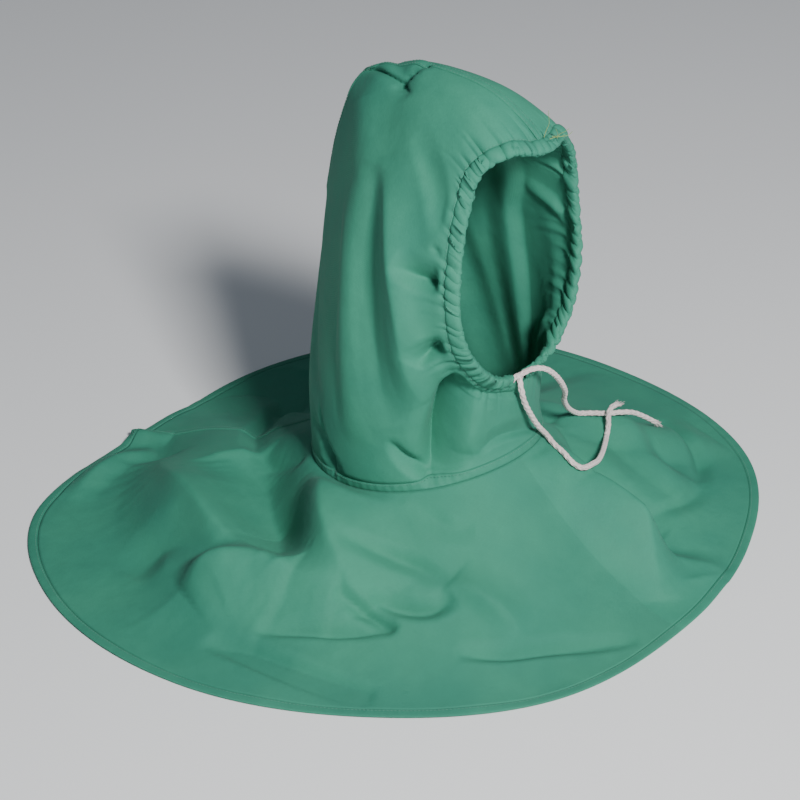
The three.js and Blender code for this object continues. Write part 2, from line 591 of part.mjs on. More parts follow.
const weldingHood = new THREE.Group();
weldingHood.add(
  clothBand("hood", greenCloth, casingBack, neckSeamTop, HOOD_ROWS, CLOTH),
  raisedSeam("crown_seam", casingBack, neckSeamTop, HOOD_ROWS),
  faceCasing(),
  clothBand("neck_seam", seamCloth, neckSeamTop, neckSeam, BAND_ROWS, SEAM_CLOTH),
  clothBand("cape", greenCloth, neckSeam, hemTop, CAPE_ROWS, CLOTH),
  raisedSeam("cape_back_seam", neckSeam, hemTop, CAPE_ROWS),
  clothBand("cape_hem", seamCloth, hemTop, hemEdge, BAND_ROWS, HEM_CLOTH),
  cordAlong("drawstring", casingAngles().map(casingMiddle)),
  freeCord("cord_end_right", TURN - slitAngle, RIGHT_END_ROUTE),
  freeCord("cord_end_left", slitAngle, LEFT_END_ROUTE),
);
weldingHood.position.copy(seat).negate();

export default weldingHood;
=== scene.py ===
import json
import math

import bmesh
import bpy
import numpy as np
from mathutils import Matrix, Vector

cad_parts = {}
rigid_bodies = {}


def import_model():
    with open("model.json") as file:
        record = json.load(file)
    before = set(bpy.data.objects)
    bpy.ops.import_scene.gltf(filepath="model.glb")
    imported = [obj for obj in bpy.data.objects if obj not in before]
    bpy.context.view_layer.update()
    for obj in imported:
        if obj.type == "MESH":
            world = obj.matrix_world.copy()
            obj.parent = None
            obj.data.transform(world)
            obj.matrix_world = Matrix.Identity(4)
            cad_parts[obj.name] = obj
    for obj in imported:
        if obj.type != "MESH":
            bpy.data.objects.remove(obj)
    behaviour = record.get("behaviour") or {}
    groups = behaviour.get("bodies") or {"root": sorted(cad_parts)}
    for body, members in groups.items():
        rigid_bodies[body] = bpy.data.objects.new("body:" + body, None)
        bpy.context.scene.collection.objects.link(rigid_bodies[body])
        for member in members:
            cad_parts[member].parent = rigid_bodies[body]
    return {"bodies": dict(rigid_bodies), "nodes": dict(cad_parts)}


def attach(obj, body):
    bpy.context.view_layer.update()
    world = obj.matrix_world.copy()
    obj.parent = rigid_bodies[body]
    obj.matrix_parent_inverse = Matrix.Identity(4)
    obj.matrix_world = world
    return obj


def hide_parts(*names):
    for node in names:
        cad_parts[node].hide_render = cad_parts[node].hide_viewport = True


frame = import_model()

for leftover in set(bpy.data.objects) - {*frame["nodes"].values(), *frame["bodies"].values()}:
    bpy.data.objects.remove(leftover)
bpy.context.view_layer.update()

# A cloth welding hood with a drawstring round the face and a wide cape, held up in its worn form.
# The cloth is worked out in millimetres in the seam frame, whose zero is the centre of the hem's level, and
# laid in metres in the row frame, whose zero is the inside of the crown.
MM = 0.001
TURN = 2 * math.pi
rng = np.random.default_rng(7)

# Cloth and sewing
CLOTH = 1.2
HEM_CLOTH = 2.4
SEW_GAP = 0.4
NECK_SEAM_WIDTH = 8.0
HEM_WIDTH = 9.0
RIDGE_WIDTH = 8.0

# Drawstring and casing
CORD = 5.0
CASING_WIDTH = 16.0
CASING_SLIT = 15.0
CASING_HOLD = 25.0

# Folds
FOLD_ENDS = 0.7
FOLD_STEPS = 24
FOLD_PLACES = 4
SEAM_HOLD = 13.0

# Hood and cape
HOOD_DEPTH = 210.0
HOOD_RISE = 355.0
HOOD_HALF_WIDTH = 100.0
CAPE_RISE = 88.0
CAPE_REACH = 335.0
CAPE_FLARE = 1.75
BACK_SEAM_TURN = 12.0
SEAT_RUN = 0.22
PROBE = 0.004

# Gathers of the casing, their depth on it, in the hood behind it and at the rim
SEWN_WIDTH = 12.5
GATHERS = 70
GATHER_JITTER = 0.4
GATHER_SLANT = 0.045
CASING_PUFF = 4.2
CASING_GATHER = 1.5
HOOD_GATHER = 4.6
RIM_SCALLOP = 1.5

# Sewn bands: how high they stand over and under the cloth
NECK_BAND_HEIGHTS = 1.0, 1.1
HEM_BAND_HEIGHTS = 0.8, 1.2
CASING_WALL = 0.5

# Stitches, in rows beside the seams, and how high they lie
STITCH_LONG, STITCH_APART, STITCH_THICK = 2.4, 3.2, 0.32
CASING_STITCH_LIFT = CLOTH / 2 + 0.1
NECK_STITCH_LIFT = 0.95
HEM_STITCH_LIFT = 0.85
RIDGE_STITCH_LIFT = CLOTH / 2 + 0.65
RIDGE_STITCH_SIDE = RIDGE_WIDTH * 0.32

# Strands of the cord, what frays at its ends, and how thin the casing presses it
STRANDS = 6
STRAND_PITCH = 23.0
FRAY_THREADS = 44
FRAY_REACH = 12.5
FRAY_RADIUS = 0.32
STRAND_SHARE = 0.23
SQUEEZE = 0.7

# Fineness of the meshes
HOOD_COLUMNS, HOOD_ROWS = 505, 95
CAPE_COLUMNS, CAPE_ROWS = 500, 96
CASING_COLUMNS, CASING_SIDES = 720, 22
BAND_COLUMNS, BAND_SIDES = 620, 12
RIDGE_ROWS, RIDGE_SIDES = 150, 12


def table(columns, text):
    """A short table as one array for each named column."""
    rows = np.array([[float(word) for word in line.split()] for line in text.strip().splitlines()])
    return {name: rows[:, i] for i, name in enumerate(columns.split())}


# Crown and back seam, and centre line of the throat, from the face rim (run 0) to the neck seam (run 1).
SEAM_LINE = table("run forward rise", """
    0.00  0.605  0.880
    0.05  0.500  0.930
    0.13  0.310  0.982
    0.22  0.060  1.000
    0.29 -0.130  0.990
    0.36 -0.325  0.955
    0.43 -0.425  0.840
    0.55 -0.505  0.680
    0.70 -0.560  0.440
    0.85 -0.550  0.190
    1.00 -0.500 -0.040
""")
THROAT_LINE = table("run forward rise", """
    0.00  0.475  0.282
    0.05  0.470  0.270
    0.22  0.460  0.238
    0.43  0.460  0.196
    0.70  0.460  0.126
    0.85  0.470  0.086
    1.00  0.500  0.050
""")
LOOP_SHAPE = table("run wide narrow rim dip", """
    0.00  0.79  0.00  1.00  0.000
    0.05  0.84  0.10  0.80  0.000
    0.13  0.94  0.35  0.40  0.000
    0.22  1.00  0.52  0.15  0.000
    0.29  1.07  0.68  0.00  0.000
    0.36  1.12  0.78  0.00  0.000
    0.43  1.14  0.80  0.00  0.000
    0.55  1.14  0.78  0.00  0.000
    0.70  1.11  0.60  0.00  0.005
    0.85  1.05  0.28  0.00  0.015
    1.00  0.99  0.00  0.00  0.030
""")

# How far the face rim lies off an even loop, by the angle in degrees, in shares of the hood's half width.
RIM_SHAPE = table("angle left forward rise", """
    -180  0.00  0.00  0.00
    -170 -0.01 -0.03  0.03
    -160 -0.03 -0.11  0.10
    -140 -0.01 -0.26  0.14
    -120  0.05 -0.25  0.13
    -100  0.02 -0.18  0.06
     -80 -0.02 -0.11  0.01
     -60 -0.02 -0.05 -0.01
     -40  0.01  0.00 -0.01
       0  0.00  0.00 -0.01
      20  0.00  0.00 -0.07
      40  0.03 -0.01 -0.17
      60  0.04 -0.03 -0.15
      80  0.02 -0.09 -0.02
     100  0.05 -0.19  0.02
     120  0.12 -0.26  0.05
     140  0.07 -0.22  0.05
     160  0.02 -0.08  0.06
     170  0.01 -0.02  0.02
     180  0.00  0.00  0.00
""")
HEM_OUTLINE = table("angle reach", """
    -180 0.905
    -160 0.960
    -140 1.070
    -120 1.060
     -90 0.985
     -60 0.910
     -30 0.885
       0 0.840
      30 0.875
      60 0.970
      90 1.000
     120 1.040
     150 0.980
     180 0.905
""")

# Folds: each runs through four places (angle in degrees and run). The lift and the reach to its left and
# right are shares of the hood's half width, or of the cape's rise and reach. Round 2 is soft, 1 sharp.
FOLD_COLUMNS = "a0 r0 a1 r1 a2 r2 a3 r3 lift left right round"
HOOD_FOLDS = table(FOLD_COLUMNS, """
     -120  0.32   -97  0.37   -82  0.46   -62  0.73  -0.10 0.28 0.24 1.6
     -123  0.30   -94  0.28   -68  0.33   -47  0.54   0.09 0.34 0.20 1.3
     -121  0.40  -103  0.50   -91  0.67   -85  0.86   0.05 0.22 0.20 2.0
      -38  0.13   -38  0.44   -42  0.69   -48  0.93  -0.14 0.32 0.26 1.4
      -21  0.26   -24  0.48   -26  0.67   -30  0.82   0.05 0.30 0.16 1.6
      -66  0.82   -57  0.91   -44  0.94   -25  0.86  -0.07 0.28 0.07 1.5
      -90  0.27   -85  0.19   -86  0.10   -91  0.01  -0.16 0.24 0.10 1.3
      -55  0.36   -56  0.26   -58  0.12   -61 -0.01  -0.16 0.20 0.08 1.4
      -22  0.82    -9  0.76     5  0.80    38  1.02  -0.06 0.18 0.06 1.4
     -128  0.92  -117  0.92  -107  0.94   -96  0.98  -0.06 0.08 0.10 1.5
     -170  0.60  -159  0.66  -139  0.75  -112  0.86  -0.05 0.16 0.24 2.0
     -146  0.26  -159  0.28  -178  0.30  -202  0.30  -0.05 0.16 0.20 1.5
      170  0.80   173  0.84   186  0.88   210  0.90  -0.05 0.14 0.16 2.0
      124  0.30   100  0.28    76  0.49    52  0.92  -0.09 0.26 0.14 1.8
      126  0.50   111  0.54    97  0.68    84  0.90   0.06 0.24 0.20 2.0
       94  0.26    90  0.19    86  0.11    84  0.03  -0.05 0.12 0.12 1.6
       36  0.10    42  0.37    41  0.63    34  0.90  -0.05 0.14 0.14 1.8
      160  0.62   146  0.70   130  0.78   112  0.88  -0.06 0.20 0.16 2.0
""")
HOOD_CREASES = table(FOLD_COLUMNS, """
     -148  0.37  -166  0.36  -184  0.34  -204  0.34  -0.06 0.32 0.30 1.8
     -172  0.37  -164  0.33  -157  0.29  -150  0.25  -0.07 0.03 0.09 1.2
     -148  0.29  -157  0.27  -168  0.25  -184  0.23  -0.07 0.10 0.03 1.2
      -98  0.14   -98  0.10   -99  0.05  -100 -0.00  -0.04 0.08 0.05 1.3
      -49  0.20   -51  0.12   -51  0.05   -50 -0.01  -0.03 0.04 0.03 1.4
      -39  0.11   -24  0.20   -10  0.23     6  0.38  -0.06 0.08 0.06 1.4
     -133  0.21  -124  0.17  -114  0.13  -105  0.09  -0.04 0.18 0.14 2.0
     -115  0.94  -110  0.96  -107  0.97  -101  0.98  -0.06 0.06 0.10 1.3
      -37  0.08   -36  0.46   -42  0.76   -51  1.02  -0.24 0.34 0.18 1.3
      -66  0.80   -60  0.86   -54  0.91   -48  1.01  -0.07 0.10 0.06 1.3
     -116  0.86  -110  0.93  -107  0.96  -100  1.03  -0.06 0.07 0.05 1.2
""")
CAPE_FOLDS = table(FOLD_COLUMNS, """
     -109 -0.02   -92  0.12   -79  0.28   -67  0.47   0.37 0.20 0.17 1.3
     -160  0.32  -142  0.20  -114  0.24   -90  0.38  -0.34 0.16 0.16 1.4
      165  1.00  -174  0.54  -136  0.29  -112  0.31   0.12 0.16 0.16 2.0
     -168  0.68  -141  0.44  -111  0.39   -87  0.40   0.34 0.14 0.34 1.3
     -124  0.72  -126  0.56  -117  0.48   -96  0.41  -0.14 0.13 0.09 1.6
     -108  0.65  -106  0.52   -96  0.42   -74  0.42   0.30 0.10 0.18 1.4
       27  0.04    19  0.28    16  0.56    21  0.96   0.26 0.08 0.18 1.3
       57  0.12    36  0.23    27  0.42    24  0.63  -0.20 0.12 0.07 1.5
       72  0.41    58  0.44    49  0.55    45  0.68   0.12 0.08 0.09 2.0
     -155  0.90  -163  0.90  -169  0.88  -172  0.78   0.12 0.07 0.07 1.5
      160  0.94   156  0.83   154  0.66  -115 -0.15  -0.14 0.09 0.04 1.4
       84  0.00    70  0.26    64  0.56    66  0.90   0.20 0.15 0.13 2.0
     -178  0.80  -178  0.90  -178  0.98  -178  1.05   0.12 0.05 0.05 1.8
      112  0.02   106  0.30   102  0.61    98  0.95  -0.14 0.12 0.12 2.0
      136 -0.02   132  0.28   128  0.63   126  1.04   0.18 0.12 0.14 2.0
      158  0.05   155  0.35   153  0.65   150  0.95  -0.14 0.11 0.11 2.0
""")
CAPE_CREASES = table(FOLD_COLUMNS, """
       25  0.24    19  0.40    12  0.58     4  0.82   0.17 0.09 0.16 1.2
       34  0.36    27  0.50    20  0.66    14  0.86  -0.15 0.14 0.08 1.4
      -89  0.65   -79  0.60   -68  0.57   -58  0.54  -0.11 0.05 0.03 1.3
      -96  0.76   -86  0.76   -72  0.82   -60  0.90  -0.14 0.06 0.05 1.7
      -75  0.43   -69  0.46   -63  0.50   -58  0.55  -0.12 0.03 0.04 1.3
      -66  0.42   -58  0.45   -50  0.46   -44  0.42  -0.14 0.05 0.04 1.4
      -80  0.23   -67  0.24   -55  0.28   -45  0.36  -0.10 0.04 0.05 1.5
      -44  0.35   -38  0.43   -33  0.53   -30  0.64   0.13 0.10 0.06 1.3
      -45  0.67   -36  0.70   -24  0.74    -8  0.90  -0.11 0.05 0.03 1.4
      -60  0.03   -50  0.10   -43  0.15   -34  0.18  -0.04 0.04 0.05 1.7
      -10 -0.02     0  0.00    11  0.02    23  0.04  -0.05 0.03 0.02 1.3
       74  0.76    66  0.75    56  0.76    48  0.71  -0.09 0.05 0.04 1.4
       30  0.52    36  0.60    42  0.69    49  0.75  -0.05 0.03 0.05 1.3
       13 -0.27    61  0.09    71  0.24    78  0.43  -0.06 0.06 0.02 1.3
     -164  0.72  -146  0.70  -128  0.68  -110  0.68  -0.13 0.20 0.20 1.6
""")

# Free ends of the drawstring, as left, forward and rise from the centre of the neck seam.
ROUTE_COLUMNS = "left forward rise"
RIGHT_END_ROUTE = table(ROUTE_COLUMNS, """
       -2.5  99.8   95.8
        2.5 103.4   98.6
        8.0 106.6  101.0
       19.1 108.5   98.7
       31.6 109.0   91.6
       47.1 106.5   78.0
       64.2 101.0   60.6
       80.4  93.0   42.4
       91.9  84.0   25.8
      113.3  73.5    4.0
      139.8  65.0  -16.3
      151.1  69.5  -19.7
      161.3  73.6  -22.8
      168.6  78.7  -24.6
      176.9  84.2  -25.2
      185.9  89.2  -26.8
      196.7  91.1  -32.0
      209.8  93.8  -41.2
      222.9  96.7  -51.5
""")
LEFT_END_ROUTE = table(ROUTE_COLUMNS, """
        3.6  99.8   92.6
        0.6 103.0   87.5
        0.8 104.8   81.0
        4.0 104.2   72.7
        9.0 104.5   62.1
       18.7 103.0   48.2
       28.6 102.5   34.4
       44.3 101.0   17.4
       44.0 109.3   11.6
       41.8 120.9    8.9
       40.0 131.1    4.5
       40.7 136.2    2.0
       42.7 140.3    0.1
       46.9 143.7    0.2
       62.2 138.9   -5.8
       82.4 130.5  -15.1
      104.1 119.6  -21.6
      124.9 107.6  -27.4
      147.4  93.9  -33.5
      153.5  91.0  -28.8
      157.0  88.7  -23.7
      162.2  84.8  -20.0
      169.9  82.1  -17.8
      181.7  79.5  -20.6
""")


def read_column(rows, key, column, at):
    """A smooth curve through one named column of a table, read at many places."""
    keys, values = rows[key], rows[column]
    last = len(keys) - 1
    upper = np.clip(np.searchsorted(keys, at, side="left"), 1, last)
    lower = upper - 1
    slope = lambda p, q: (values[q] - values[p]) / (keys[q] - keys[p])
    before = np.where(upper > 1, slope(np.maximum(lower - 1, 0), upper), slope(lower, upper))
    after = np.where(upper < last, slope(lower, np.minimum(upper + 1, last)), slope(lower, upper))
    span = keys[upper] - keys[lower]
    s = np.clip((at - keys[lower]) / span, 0, 1)
    ends = values[lower] * (1 + 2 * s) * (1 - s) ** 2 + values[upper] * s * s * (3 - 2 * s)
    return ends + span * (before * s * (1 - s) ** 2 - after * s * s * (1 - s))


def smoothstep(x, low, high):
    s = np.clip((x - low) / (high - low), 0, 1)
    return s * s * (3 - 2 * s)


def place(left, forward, rise):
    return np.stack([left, -forward, rise + CAPE_RISE], axis=-1)


def unit(vectors):
    return vectors / np.maximum(np.linalg.norm(vectors, axis=-1, keepdims=True), 1e-9)


def hood_base(angle, run):
    """The hood's smooth surface. The angle is 0 at the throat and half a turn at the crown."""
    line = lambda rows: place(0 * run, read_column(rows, "run", "forward", run) * HOOD_DEPTH,
                              read_column(rows, "run", "rise", run) * HOOD_RISE)
    seam, throat = line(SEAM_LINE), line(THROAT_LINE)
    shape = lambda column: read_column(LOOP_SHAPE, "run", column, run)
    degrees = np.degrees(np.arctan2(np.sin(angle), np.cos(angle)))
    rim = lambda column: read_column(RIM_SHAPE, "angle", column, degrees) * shape("rim") * HOOD_HALF_WIDTH
    along = (1 - np.cos(angle)) / 2
    across = np.sin(angle)
    point = throat + (seam - throat) * along[..., None]
    point[..., 0] = across * shape("wide") * HOOD_HALF_WIDTH * (1 - shape("narrow") * along**2)
    point[..., 2] -= shape("dip") * HOOD_RISE * across**2
    point += np.stack([rim("left"), -rim("forward"), rim("rise")], axis=-1)
    return point


def cape_base(angle, run):
    """The cape's smooth surface, from the neck seam (run 0) to the hem (run 1)."""
    neck = hood_base(angle, np.ones_like(angle))
    turned = angle + math.radians(BACK_SEAM_TURN) * ((1 - np.cos(angle)) / 2) ** 2
    degrees = np.degrees(np.arctan2(np.sin(turned), np.cos(turned)))
    reach = read_column(HEM_OUTLINE, "angle", "reach", degrees) * CAPE_REACH
    hem = place(reach * np.sin(turned), reach * np.cos(turned), 0 * reach + HEM_CLOTH / 2 - CAPE_RISE)
    point = neck + (hem - neck) * run[..., None]
    point[..., 2] = hem[..., 2] + (neck[..., 2] - hem[..., 2]) * (1 - run) ** CAPE_FLARE
    return point


def base(angle, run):
    """The whole cloth in one run: 0 at the face rim, 1 at the neck seam, 2 at the hem."""
    angle, run = np.broadcast_arrays(np.asarray(angle, float), np.asarray(run, float))
    point = np.empty(run.shape + (3,))
    on_hood = run <= 1
    point[on_hood] = hood_base(angle[on_hood], run[on_hood])
    point[~on_hood] = cape_base(angle[~on_hood], run[~on_hood] - 1)
    return point


def frame_of(surface, angle, run):
    """The point, the way round, the way down and the outward normal of a surface."""
    around = unit(surface(angle + PROBE, run) - surface(angle - PROBE, run))
    down = surface(angle, np.minimum(run + PROBE, 2)) - surface(angle, np.maximum(run - PROBE, 0))
    normal = unit(np.cross(down, around))
    return surface(angle, run), around, np.cross(around, normal), normal


def through(values, t):
    """A smooth curve through evenly spaced values: t runs from 0 at the first to 1 at the last."""
    values = np.asarray(values, float)
    last = len(values) - 1
    lower = np.minimum((t * last).astype(int), last - 1)
    s = t * last - lower
    slope = np.gradient(values)
    ends = values[lower] * (1 + 2 * s) * (1 - s) ** 2 + values[lower + 1] * s * s * (3 - 2 * s)
    return ends + slope[lower] * s * (1 - s) ** 2 - slope[lower + 1] * s * s * (1 - s)


def fold_courses(rows, first_run, lift_unit, reach_unit):
    """Each fold's course on the smooth surface, through the places of its row."""
    t = np.linspace(0, 1, FOLD_STEPS + 1)
    courses = []
    for i in range(len(rows["lift"])):
        angles = np.unwrap(np.radians([rows[f"a{place}"][i] for place in range(FOLD_PLACES)]))
        runs = [rows[f"r{place}"][i] for place in range(FOLD_PLACES)]
        spots = frame_of(base, through(angles, t), np.clip(first_run + through(runs, t), 0, 2))
        courses.append({"points": spots[0], "normals": spots[3], "lift": rows["lift"][i] * lift_unit,
                        "left": rows["left"][i] * reach_unit, "right": rows["right"][i] * reach_unit,
                        "round": rows["round"][i]})
    return courses


def fold_lift(fold, points):
    """How far one fold lifts the cloth at each point: full on its course, fading to its sides and ends."""
    lift = np.zeros(len(points))
    reach = max(fold["left"], fold["right"])
    low, high = fold["points"].min(0) - reach, fold["points"].max(0) + reach
    near = np.nonzero(((points > low) & (points < high)).all(1))[0]
    if not len(near):
        return lift
    start, step = fold["points"][:-1], np.diff(fold["points"], axis=0)
    away = points[near][:, None, :] - start
    t = np.clip((away * step).sum(-1) / np.maximum((step**2).sum(-1), 1e-9), 0, 1)
    away -= t[..., None] * step
    distance = np.linalg.norm(away, axis=-1)
    best = distance.argmin(1)
    pick = np.arange(len(near)), best
    leftward = np.cross(fold["normals"][:-1], step)[best]
    on_left = (away[pick] * leftward).sum(-1) > 0
    share = distance[pick] / np.where(on_left, fold["left"], fold["right"])
    along = (best + t[pick]) / FOLD_STEPS
    body = np.clip(1 - share ** fold["round"], 0, 1) ** 2
    lift[near] = fold["lift"] * np.sin(math.pi * along) ** FOLD_ENDS * np.where(share < 1, body, 0)
    return lift


HOOD_COURSES = [course for rows in (HOOD_FOLDS, HOOD_CREASES)
                for course in fold_courses(rows, 0, HOOD_HALF_WIDTH, HOOD_HALF_WIDTH)]
CAPE_COURSES = [course for rows in (CAPE_FOLDS, CAPE_CREASES)
                for course in fold_courses(rows, 1, CAPE_RISE, CAPE_REACH)]


def run_length(angle, run):
    """Width of cloth for a whole run near one place, measured square to the loop through it."""
    above, below = np.maximum(run - PROBE, 0), np.minimum(run + PROBE, 2)
    step = base(angle, below) - base(angle, above)
    around = unit(base(angle + PROBE, run) - base(angle - PROBE, run))
    return np.linalg.norm(np.cross(step, around), axis=-1) / (below - above)


def cloth(angle, run):
    """The folded cloth, never below the level of the hem. The casing and the neck seam hold the folds."""
    angle, run = np.broadcast_arrays(np.asarray(angle, float), np.asarray(run, float))
    shape = run.shape
    angle, run = angle.ravel(), run.ravel()
    point, around, down, normal = frame_of(base, angle, run)
    from_rim = run_length(angle, 0 * run) * run
    from_seam = np.abs(run - 1) * run_length(angle, np.where(run < 1, 1 - PROBE, 1 + PROBE))
    folded = np.zeros(len(run))
    for courses, here in ((HOOD_COURSES, run < 1), (CAPE_COURSES, run > 1)):
        folded[here] = sum(fold_lift(fold, point[here]) for fold in courses)
    held = smoothstep(from_seam, 0, SEAM_HOLD)
    free = held * smoothstep(from_rim, CASING_WIDTH, CASING_HOLD)
    point = point + normal * (folded * free)[:, None]
    point[:, 2] = np.maximum(point[:, 2], HEM_CLOTH / 2)
    return point.reshape(shape + (3,))


def rim_line(angle):
    return 0 * angle


def neck_line(angle):
    return 0 * angle + 1


def hem_line(angle):
    return 0 * angle + 2


def casing_back(angle):
    return CASING_WIDTH / run_length(angle, rim_line(angle))


def casing_seam(angle):
    """Where the casing is sewn to the hood, closer to the rim where the cord has drawn it up."""
    return SEWN_WIDTH / run_length(angle, rim_line(angle))


def neck_seam_top(angle):
    return 1 - NECK_SEAM_WIDTH / run_length(angle, neck_line(angle) - PROBE)


def hem_top(angle):
    return 2 - HEM_WIDTH / run_length(angle, hem_line(angle))


crown = frame_of(cloth, np.array([math.pi]), np.array([SEAT_RUN]))
seat = (crown[0] - crown[3] * CLOTH / 2)[0]


def metres(points):
    return (points - seat) * MM


# Camera at the photograph's angle
camera_data = bpy.data.cameras.new("camera")
camera_data.lens, camera_data.sensor_width = 110, 36
camera = bpy.data.objects.new("camera", camera_data)
bpy.context.scene.collection.objects.link(camera)
bpy.context.scene.camera = camera
CAMERA_TURN, CAMERA_TILT, CAMERA_AWAY = math.radians(-50), math.radians(30), 2.42
camera_target = Vector(metres(np.array([148.28, 155.34, 0.0])))
camera_back = Vector((
    math.sin(CAMERA_TURN) * math.cos(CAMERA_TILT),
    -math.cos(CAMERA_TURN) * math.cos(CAMERA_TILT),
    math.sin(CAMERA_TILT),
))
camera.location = camera_target + camera_back * CAMERA_AWAY
camera.rotation_mode = "QUATERNION"
camera.rotation_quaternion = camera_back.to_track_quat("Z", "Y")


# Shader maths
class Shade:
    """A socket of a finish that Python's own operators work on."""

    def __init__(self, finish, socket):
        self.finish, self.socket = finish, socket

    def maths(self, operation, a, b=0.5):
        return self.finish.node("ShaderNodeMath", {"operation": operation}, {0: a, 1: b}, "Value")

    def __add__(self, other): return self.maths("ADD", self, other)
    def __radd__(self, other): return self.maths("ADD", other, self)
    def __sub__(self, other): return self.maths("SUBTRACT", self, other)
    def __mul__(self, other): return self.maths("MULTIPLY", self, other)
    def sine(self): return self.maths("SINE", self)


class Finish:
    """A material that is built from named nodes and from maths on their sockets."""

    def __init__(self, name):
        self.material = bpy.data.materials.new(name)
        self.material.use_nodes = True
        self.tree = self.material.node_tree
        self.tree.nodes.clear()

    def node(self, kind, settings=None, inputs=None, output=None):
        made = self.tree.nodes.new(kind)
        for name, value in (settings or {}).items():
            setattr(made, name, value)
        for name, value in (inputs or {}).items():
            if isinstance(value, Shade):
                self.tree.links.new(value.socket, made.inputs[name])
            else:
                made.inputs[name].default_value = value
        return Shade(self, made.outputs[output]) if output else made

    def noise(self, where, scale, detail, roughness=0.5):
        inputs = {"Vector": where, "Scale": scale, "Detail": detail, "Roughness": roughness}
        return self.node("ShaderNodeTexNoise", {"noise_dimensions": "3D"}, inputs, "Fac")

    def mix(self, share, first, second, blend="MIX"):
        return self.node("ShaderNodeMix", {"data_type": "RGBA", "blend_type": blend},
                         {0: share, 6: first, 7: second}, 2)

    def step(self, value, low, high):
        return self.node("ShaderNodeMapRange", {"interpolation_type": "SMOOTHSTEP"},
                         {"Value": value, "From Min": low, "From Max": high}, "Result")

    def bump(self, height, strength):
        inputs = {"Height": height, "Strength": strength, "Distance": 1.0}
        return self.node("ShaderNodeBump", None, inputs, "Normal")

    def surface(self, constants, linked):
        shader = self.node("ShaderNodeBsdfPrincipled", None, {**constants, **linked})
        end = self.node("ShaderNodeOutputMaterial")
        self.tree.links.new(shader.outputs[0], end.inputs[0])
        return self.material


def cotton(name, lit, shade):
    """Close-woven cotton: two shades in soft patches, with slubs and mottling in colour and a bumpy weave."""
    finish = Finish(name)
    here = finish.node("ShaderNodeTexCoord", None, None, "Object")
    laid = finish.node("ShaderNodeUVMap", {"uv_map": "cloth"}, None, "UV")
    patches = finish.noise(here, 9, 3, 0.55)
    mottle = finish.noise(here, 70, 4, 0.6)
    long_way = finish.node("ShaderNodeMapping", None, {"Vector": laid, "Scale": (300, 2600, 1)}, "Vector")
    slubs = finish.node("ShaderNodeTexNoise", {"noise_dimensions": "2D"},
                        {"Vector": long_way, "Scale": 1.0, "Detail": 2.0}, "Fac")
    tone = finish.mix(finish.step(patches, 0.3, 0.7), (*shade, 1), (*lit, 1))
    weave = 0.9 + (mottle - 0.5) * 0.16 + (slubs - 0.5) * 0.25
    weave = finish.node("ShaderNodeCombineColor", None, {0: weave, 1: weave, 2: weave}, "Color")
    tone = finish.mix(1.0, tone, weave, "MULTIPLY")
    across = finish.node("ShaderNodeSeparateXYZ", None, {"Vector": laid}, "X")
    down = finish.node("ShaderNodeSeparateXYZ", None, {"Vector": laid}, "Y")
    threads = (across * 9000).sine() * 0.5 + ((across + down) * 4500).sine()
    height = threads * 0.00003 + (mottle - 0.5) * 0.0006 + (finish.noise(here, 22, 3) - 0.5) * 0.0014
    bump = finish.bump(height, 0.8)
    return finish.surface(
        {"Specular IOR Level": 0.3, "Sheen Weight": 0.04, "Sheen Roughness": 0.45,
         "Sheen Tint": (0.55, 0.9, 0.8, 1)},
        {"Base Color": tone, "Roughness": 0.72 + (mottle - 0.5) * 0.2, "Normal": bump},
    )


def twine(name, colour, dirt):
    """Soft cotton cord: fibres in colour and bump, a little soiled in patches."""
    finish = Finish(name)
    here = finish.node("ShaderNodeTexCoord", None, None, "Object")
    fibres = finish.noise(here, 900, 4, 0.7)
    soil = finish.noise(here, 60, 3, 0.5)
    tone = finish.mix(finish.step(soil, 0.45, 0.75), (*colour, 1), (*dirt, 1))
    tone = finish.mix(fibres * 0.35, tone, (*[c * 0.7 for c in colour], 1))
    bump = finish.bump(fibres * 0.0004, 0.7)
    return finish.surface({"Specular IOR Level": 0.2, "Sheen Weight": 0.3, "Sheen Roughness": 0.6},
                          {"Base Color": tone, "Roughness": 0.85 + (soil - 0.5) * 0.1, "Normal": bump})


green_cotton = cotton("green_cotton", (0.050, 0.30, 0.190), (0.038, 0.255, 0.168))
seam_cotton = cotton("seam_cotton", (0.048, 0.29, 0.184), (0.036, 0.245, 0.160))
green_thread = twine("green_thread", (0.052, 0.27, 0.18), (0.035, 0.2, 0.135))
white_cotton = twine("white_cotton", (0.82, 0.70, 0.68), (0.70, 0.56, 0.55))
yellow_thread = twine("yellow_thread", (0.24, 0.38, 0.09), (0.14, 0.26, 0.08))


# Gathers that the drawstring pulls into the casing and into the hood behind it
gather_turns = (np.arange(GATHERS) + rng.uniform(-GATHER_JITTER, GATHER_JITTER, GATHERS)) / GATHERS * TURN
gather_depths = 0.25 + 0.75 * rng.uniform(0, 1, GATHERS) ** 1.3
gather_reach = 8 + 42 * rng.uniform(0, 1, GATHERS) ** 2


def gather(angle, rim_share=0.0):
    """How full the cloth stands between two slanting creases, 0 in a crease and 1 between, and its row."""
    slant = GATHER_SLANT * (np.sin(7 * angle) + 0.6 * np.sin(19 * angle + 1)) * (rim_share - 0.5)
    angle = angle + slant
    turned = np.mod(angle - gather_turns[0], TURN) + gather_turns[0]
    row = np.clip(np.searchsorted(gather_turns, turned, side="right") - 1, 0, GATHERS - 1)
    following = np.append(gather_turns, gather_turns[0] + TURN)
    share = np.clip((turned - gather_turns[row]) / (following[row + 1] - gather_turns[row]), 0, 1)
    return np.sin(math.pi * share) ** 0.65, row, share


